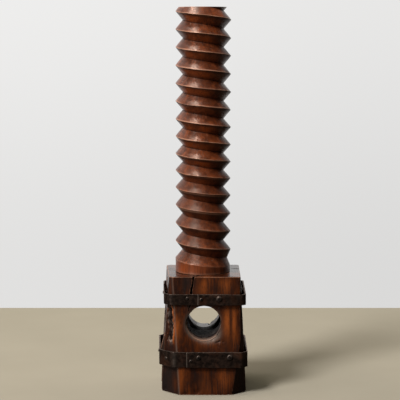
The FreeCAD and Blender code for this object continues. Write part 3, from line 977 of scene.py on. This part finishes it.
def make_patches():
    """Large soft patches, drawn out along the grain, where the finish has gone darker or redder."""
    tree, given, out = new_group(
        "patches",
        {"Place": ("vector", None), "Size": ("value", 1.0)},
        {"Dark": "value", "Warm": "value"},
    )
    dark = cloudy(tree, stretched(tree, given["Place"], (9, 9, 5)), given["Size"], 3.0, 0.55)
    elsewhere = stretched(tree, given["Place"], (14, 14, 3.5), (3.1, 1.7, 0.4))
    warm = cloudy(tree, elsewhere, given["Size"], 4.0, 0.6)
    feed(tree, out["Dark"], spread(tree, dark, 0.45, 0.66))
    feed(tree, out["Warm"], spread(tree, warm, 0.48, 0.68))
    return tree


timber_grain = make_timber_grain()
edge_wear_and_shade = make_edge_wear_and_shade()
patches = make_patches()


# -------------------- materials


WAX_SHEEN = (1.0, 0.78, 0.66, 1)
RUBBED_AND_LIT_WOOD = (0.40, 0.20, 0.12, 1)
RUBBED_AND_LIT_IRON = (0.13, 0.105, 0.09, 1)


def empty_material(name):
    material = bpy.data.materials.new(name)
    material.use_nodes = True
    material.node_tree.nodes.clear()
    return material, material.node_tree


def new_material(name):
    material, tree = empty_material(name)
    shader = add_node(tree, "BsdfPrincipled")
    add_node(tree, "OutputMaterial", {"Surface": shader.outputs["BSDF"]})
    return material, tree, shader


def raise_surface(tree, shader, height, distance, strength=1.0):
    bump = add_node(tree, "Bump", {"Strength": strength, "Distance": distance, "Height": height})
    feed(tree, shader.inputs["Normal"], bump.outputs["Normal"])


def timber(name, deep, body, light, worn, gloss, patch_strength, fineness=1.0, relief=0.0004,
           use_painted_tones=False, bare_and_lit=(0.145, 0.118, 0.098, 1), sheen=0.5):
    """Old waxed hardwood: grain over patches, rubbed edges painted lighter partly as highlights, and
    painted shade in the inner corners. With use_painted_tones it also reads the tones painted on its
    piece."""
    material, tree, shader = new_material(name)
    place = object_place(tree)
    grain = use_group(tree, timber_grain, Place=place, Fineness=fineness)
    patch = use_group(tree, patches, Place=place)
    wear = use_group(tree, edge_wear_and_shade, Place=place, Reach=0.05)

    colour = blend_colour(tree, grain["Bands"], body, light)
    mottle = cloudy(tree, stretched(tree, place, (62, 62, 24)), 1.0, 5.0, 0.62, 0.6)
    mottle = spread(tree, mottle, 0.41, 0.61)
    colour = lay_over(tree, colour, mottle, 0.60, deep)
    warm_share = sums(tree, "MULTIPLY", patch["Warm"], patch_strength * 0.5)
    dark_share = sums(tree, "MULTIPLY", patch["Dark"], patch_strength)
    if use_painted_tones:
        # Painted tones: marks, painted shade, and bare wood with painted highlights.
        dark, warm, bare_and_lit_share = painted_tones(tree)
        warm_share = sums(tree, "MAXIMUM", warm_share, warm)
        dark_share = sums(tree, "MAXIMUM", dark_share, dark)
    colour = blend_colour(tree, warm_share, colour, worn)
    colour = lay_over(tree, colour, grain["Streaks"], 0.66, deep)
    colour = lay_over(tree, colour, dark_share, 0.92, deep)
    colour = lay_over(tree, colour, grain["Pores"], 0.6, deep)
    if use_painted_tones:
        # Bare wood and painted highlights.
        colour = lay_over(tree, colour, bare_and_lit_share, 0.78, bare_and_lit)
    # Painted shade in the inner corners.
    colour = lay_over(tree, colour, wear["Shaded corners"], 0.85, deep)
    # Outer edges lighter: rubbed wear and a painted edge highlight, kept off the dark places.
    rubbed_and_lit = sums(tree, "MULTIPLY", wear["Rubbed and lit"], 0.55)
    rubbed_and_lit = sums(tree, "MULTIPLY", rubbed_and_lit, sums(tree, "SUBTRACT", 1.0, dark_share))
    colour = blend_colour(tree, rubbed_and_lit, colour, RUBBED_AND_LIT_WOOD)
    feed(tree, shader.inputs["Base Color"], colour)

    facing = parts_of(tree, add_node(tree, "NewGeometry").outputs["Normal"])
    level_face = spread(tree, facing["Z"], 0.85, 0.97)
    polished = sums(tree, "MULTIPLY", level_face, 0.24)
    rough = spread(tree, grain["Streaks"], 0, 1, gloss, gloss + 0.12)
    rough = sums(tree, "ADD", rough, sums(tree, "MULTIPLY", wear["Shaded corners"], 0.2))
    rough = sums(tree, "SUBTRACT", rough, polished)
    if use_painted_tones:
        rough = sums(tree, "ADD", rough, sums(tree, "MULTIPLY", dark_share, 0.22), clamp=True)
    feed(tree, shader.inputs["Roughness"], rough)
    shader.inputs["Specular Tint"].default_value = WAX_SHEEN
    shader.inputs["Specular IOR Level"].default_value = sheen
    calm = spread(tree, level_face, 0, 1, 1.0, 0.15)
    raise_surface(tree, shader, sums(tree, "MULTIPLY", grain["Height"], calm), relief)
    return material


def forged_iron(name, deep, body, rust, gloss, painted=False):
    """Black forged iron under old wax, browned in patches and brighter on its arrises: rubbed wear and
    a painted highlight.
    """
    material, tree, shader = new_material(name)
    place = object_place(tree)
    wear = use_group(tree, edge_wear_and_shade, Place=place, Reach=0.05)
    scale = cloudy(tree, place, 90.0, 6.0, 0.65)
    broad = cloudy(tree, place, 18.0, 4.0, 0.6)
    colour = blend_colour(tree, spread(tree, scale, 0.35, 0.65), deep, body)
    colour = blend_colour(tree, spread(tree, broad, 0.5, 0.7, 0, 0.7), colour, rust)
    bright = sums(tree, "MULTIPLY", wear["Rubbed and lit"], 0.5)
    if painted:
        # Painted highlights and rust stored on the piece.
        rubbed_and_lit, rusty, _ = painted_tones(tree)
        colour = lay_over(tree, colour, rusty, 0.6, rust)
        bright = sums(tree, "MAXIMUM", bright, rubbed_and_lit)
    colour = blend_colour(tree, bright, colour, RUBBED_AND_LIT_IRON)
    feed(tree, shader.inputs["Base Color"], colour)
    rough = spread(tree, scale, 0.3, 0.7, gloss - 0.08, gloss + 0.14)
    feed(tree, shader.inputs["Roughness"], rough)
    feed(tree, shader.inputs["Metallic"], spread(tree, broad, 0.5, 0.7, 0.55, 0.1))
    shader.inputs["Specular Tint"].default_value = WAX_SHEEN
    height = sums(tree, "ADD", scale, sums(tree, "MULTIPLY", broad, 2.0))
    raise_surface(tree, shader, height, 0.0007, 0.5)
    return material


screw_timber = timber("screw_timber", (0.026, 0.006, 0.003, 1), (0.125, 0.033, 0.012, 1),
                      (0.23, 0.060, 0.020, 1), (0.40, 0.085, 0.018, 1), 0.25, 0.30, relief=0.00025,
                      use_painted_tones=True, bare_and_lit=(0.46, 0.25, 0.17, 1))
head_timber = timber("head_timber", (0.005, 0.003, 0.0035, 1), (0.039, 0.0090, 0.0024, 1),
                     (0.088, 0.020, 0.004, 1), (0.40, 0.100, 0.020, 1), 0.28, 0.50, relief=0.0006,
                     use_painted_tones=True, sheen=0.36)
wedge_wood = timber("wedge_wood", (0.004, 0.002, 0.002, 1), (0.014, 0.006, 0.004, 1),
                    (0.03, 0.012, 0.007, 1), (0.06, 0.024, 0.012, 1), 0.72, 0.4, 1.6)
peg_wood = timber("peg_wood", (0.008, 0.004, 0.003, 1), (0.050, 0.018, 0.008, 1),
                  (0.09, 0.034, 0.015, 1), (0.14, 0.06, 0.03, 1), 0.45, 0.4, 1.8)


def painted_shade_material():
    """The unwaxed inside of the cracks and bar holes, painted black as shade and dusty in places."""
    material, tree, shader = new_material("painted_shade_inside")
    place = object_place(tree)
    grain = use_group(tree, timber_grain, Place=place, Fineness=1.3)
    colour = blend_colour(tree, grain["Streaks"], (0.010, 0.005, 0.004, 1), (0.003, 0.002, 0.002, 1))
    dusty = spread(tree, cloudy(tree, place, 45.0), 0.5, 0.75)
    colour = blend_colour(tree, dusty, colour, (0.045, 0.037, 0.030, 1))
    feed(tree, shader.inputs["Base Color"], colour)
    feed(tree, shader.inputs["Roughness"], spread(tree, grain["Streaks"], 0, 1, 0.7, 0.95))
    shader.inputs["Specular IOR Level"].default_value = 0.18
    raise_surface(tree, shader, grain["Height"], 0.0008)
    return material


hole_shade = painted_shade_material()
strap_iron = forged_iron("strap_iron", (0.010, 0.0068, 0.0060, 1), (0.034, 0.020, 0.0145, 1),
                         (0.050, 0.018, 0.009, 1), 0.36, painted=True)
nail_iron = forged_iron("nail_iron", (0.005, 0.004, 0.004, 1), (0.017, 0.012, 0.010, 1),
                        (0.030, 0.013, 0.008, 1), 0.42)


# -------------------- the pieces

make_screw(screw_timber)
make_head(head_timber, hole_shade)
for band in ("upper", "lower"):
    make_strap(band, strap_iron)
shim = boxed_copy("upper_left_shim", "upper_left_shim_forged", 0.0003, 1)
stands_for(shim, "upper_left_shim", strap_iron)
for number, node in enumerate(("upper_right_wedge", "lower_left_wedge", "lower_right_wedge")):
    wedge = boxed_copy(node, node + "_split", 0.0009, number + 2, tight=0.0022)
    stands_for(wedge, node, wedge_wood)
peg = boxed_copy("tenon_pin", "tenon_pin_whittled", 0.0006, 7)
stands_for(peg, "tenon_pin", peg_wood)
make_fasteners(nail_iron)


# -------------------- floor, wall, lights and camera


WALL_Y = 1.36
WALL_WIDTH, WALL_HEIGHT, WALL_SUNK = 8, 10, 0.1
FLOOR_WIDTH = 30
# How much of the floor's colour is kept from the light it throws back at the object.
FLOOR_HELD_BACK = 0.85


def make_floor():
    """A pale matt floor that throws little light back up."""
    bpy.ops.mesh.primitive_plane_add(size=1, location=(0, 0, 0))
    floor = settle(bpy.context.object, "floor")
    push(floor, lambda place, normal: place * (FLOOR_WIDTH - 1))
    material, tree, shader = new_material("floor_paint")
    cloud = cloudy(tree, object_place(tree), 3.0, 4.0, 0.5)
    colour = blend_colour(tree, cloud, (0.318, 0.296, 0.240, 1), (0.366, 0.340, 0.278, 1))
    camera_ray = add_node(tree, "LightPath").outputs["Is Camera Ray"]
    held_back = spread(tree, camera_ray, 0, 1, FLOOR_HELD_BACK, 0.0)
    feed(tree, shader.inputs["Base Color"], blend_colour(tree, held_back, colour, (0, 0, 0, 1)))
    shader.inputs["Roughness"].default_value = 0.6
    shader.inputs["Specular IOR Level"].default_value = 0.0
    floor.data.materials.append(material)


def make_wall():
    """A pale backdrop that is seen from its front side only."""
    bpy.ops.mesh.primitive_plane_add(size=1, location=(0, WALL_Y, 0))
    wall = bpy.context.object
    wall.rotation_euler = (math.pi / 2, 0, 0)
    settle(wall, "wall")
    lift = WALL_HEIGHT / 2 - WALL_SUNK
    widen, raised = WALL_WIDTH - 1, WALL_HEIGHT - 1
    push(wall, lambda place, normal: Vector((place.x * widen, 0, place.z * raised + lift)))
    material, tree = empty_material("wall_paint")
    parts = parts_of(tree, object_place(tree))
    higher = spread(tree, parts["Z"], 0.0, 1.6, 0.0, 0.11)
    leftwards = spread(tree, parts["X"], 0.9, -0.9, 0.0, 0.05)
    level = sums(tree, "ADD", sums(tree, "ADD", 0.70, higher), leftwards)
    ray = add_node(tree, "LightPath").outputs
    far_right = spread(tree, parts["X"], 0.2, 2.2, 1.0, 0.12)
    unseen = sums(tree, "SUBTRACT", 1.0, ray["Is Camera Ray"])
    level = sums(tree, "MULTIPLY", level, spread(tree, unseen, 0, 1, 1.0, far_right))
    colour = blend_colour(tree, ray["Is Diffuse Ray"], (1.0, 0.995, 0.985, 1), (0.95, 0.88, 0.68, 1))
    glow = add_node(tree, "Emission", {"Strength": level, "Color": colour})
    clear = add_node(tree, "BsdfTransparent")
    behind = add_node(tree, "NewGeometry").outputs["Backfacing"]
    choose = add_node(tree, "MixShader", {0: behind, 1: glow.outputs[0], 2: clear.outputs[0]})
    add_node(tree, "OutputMaterial", {"Surface": choose.outputs[0]})
    wall.data.materials.append(material)


def make_world(seen, bright, dim):
    """A pale room: bright to the left and above, dim to the right, and one even tone to the camera."""
    world = bpy.data.worlds.new("studio")
    bpy.context.scene.world = world
    world.use_nodes = True
    tree = world.node_tree
    tree.nodes.clear()
    way = parts_of(tree, add_node(tree, "TexCoord").outputs["Generated"])
    lean = sums(tree, "SUBTRACT", sums(tree, "MULTIPLY", way["Z"], 0.3), way["X"])
    lighting = spread(tree, lean, -0.3, 0.9, dim, bright)
    camera_ray = add_node(tree, "LightPath").outputs["Is Camera Ray"]
    strength = spread(tree, camera_ray, 0, 1, lighting, seen)
    colour = blend_colour(tree, camera_ray, (1.0, 0.945, 0.84, 1), (1.0, 0.995, 0.985, 1))
    background = add_node(tree, "Background", {"Strength": strength, "Color": colour})
    add_node(tree, "OutputWorld", {"Surface": background.outputs[0]})


def make_light(name, kind, place, target, power, colour):
    """A light that stands in one place and points at another."""
    lamp = bpy.data.objects.new(name, bpy.data.lights.new(name, kind))
    bpy.context.scene.collection.objects.link(lamp)
    lamp.location = place
    lamp.rotation_euler = (Vector(target) - Vector(place)).to_track_quat("-Z", "Y").to_euler()
    lamp.data.energy = power
    lamp.data.color = colour
    return lamp


# A far key light, as wide in degrees as a large softbox.
KEY_WIDTH = 17
# Each softbox: name, place, what it points at, power, colour, width and height.
SOFTBOXES = (
    ("front_softbox", (-3.1, -3.2, 1.5), (0, 0, 0.5), 60, (1.0, 0.94, 0.89), 0.5, 1.8),
    ("overhead_softbox", (-0.78, -0.3, 3.4), (0, 0, 0.9), 40, (1.0, 0.89, 0.82), 1.3, 0.20),
    ("side_fill", (2.2, 1.26, 1.7), (0, 0, 0.5), 15, (1.0, 0.93, 0.82), 1.2, 1.8),
)
CAMERA_PLACE = (-0.0109, -4.654, 1.196)
CAMERA_TILT = 83.256
CAMERA_LENS, CAMERA_SENSOR = 123.3, 36

make_floor()
make_wall()
make_world(seen=0.80, bright=0.12, dim=0.012)
key = make_light("key", "SUN", (-3.1, -3.2, 4.6), (0, 0, 0), 2.95, (1.0, 0.97, 0.94))
key.data.angle = math.radians(KEY_WIDTH)
for name, place, target, power, colour, width, height in SOFTBOXES:
    softbox = make_light(name, "AREA", place, target, power, colour)
    softbox.data.shape = "RECTANGLE"
    softbox.data.size, softbox.data.size_y = width, height
    softbox.visible_glossy = name != "side_fill"

camera = bpy.data.objects.new("camera", bpy.data.cameras.new("camera"))
bpy.context.scene.collection.objects.link(camera)
camera.location = CAMERA_PLACE
camera.rotation_euler = (math.radians(CAMERA_TILT), 0, 0)
camera.data.lens = CAMERA_LENS
camera.data.sensor_width = CAMERA_SENSOR
bpy.context.scene.camera = camera
bpy.context.scene.view_settings.view_transform = "Standard"
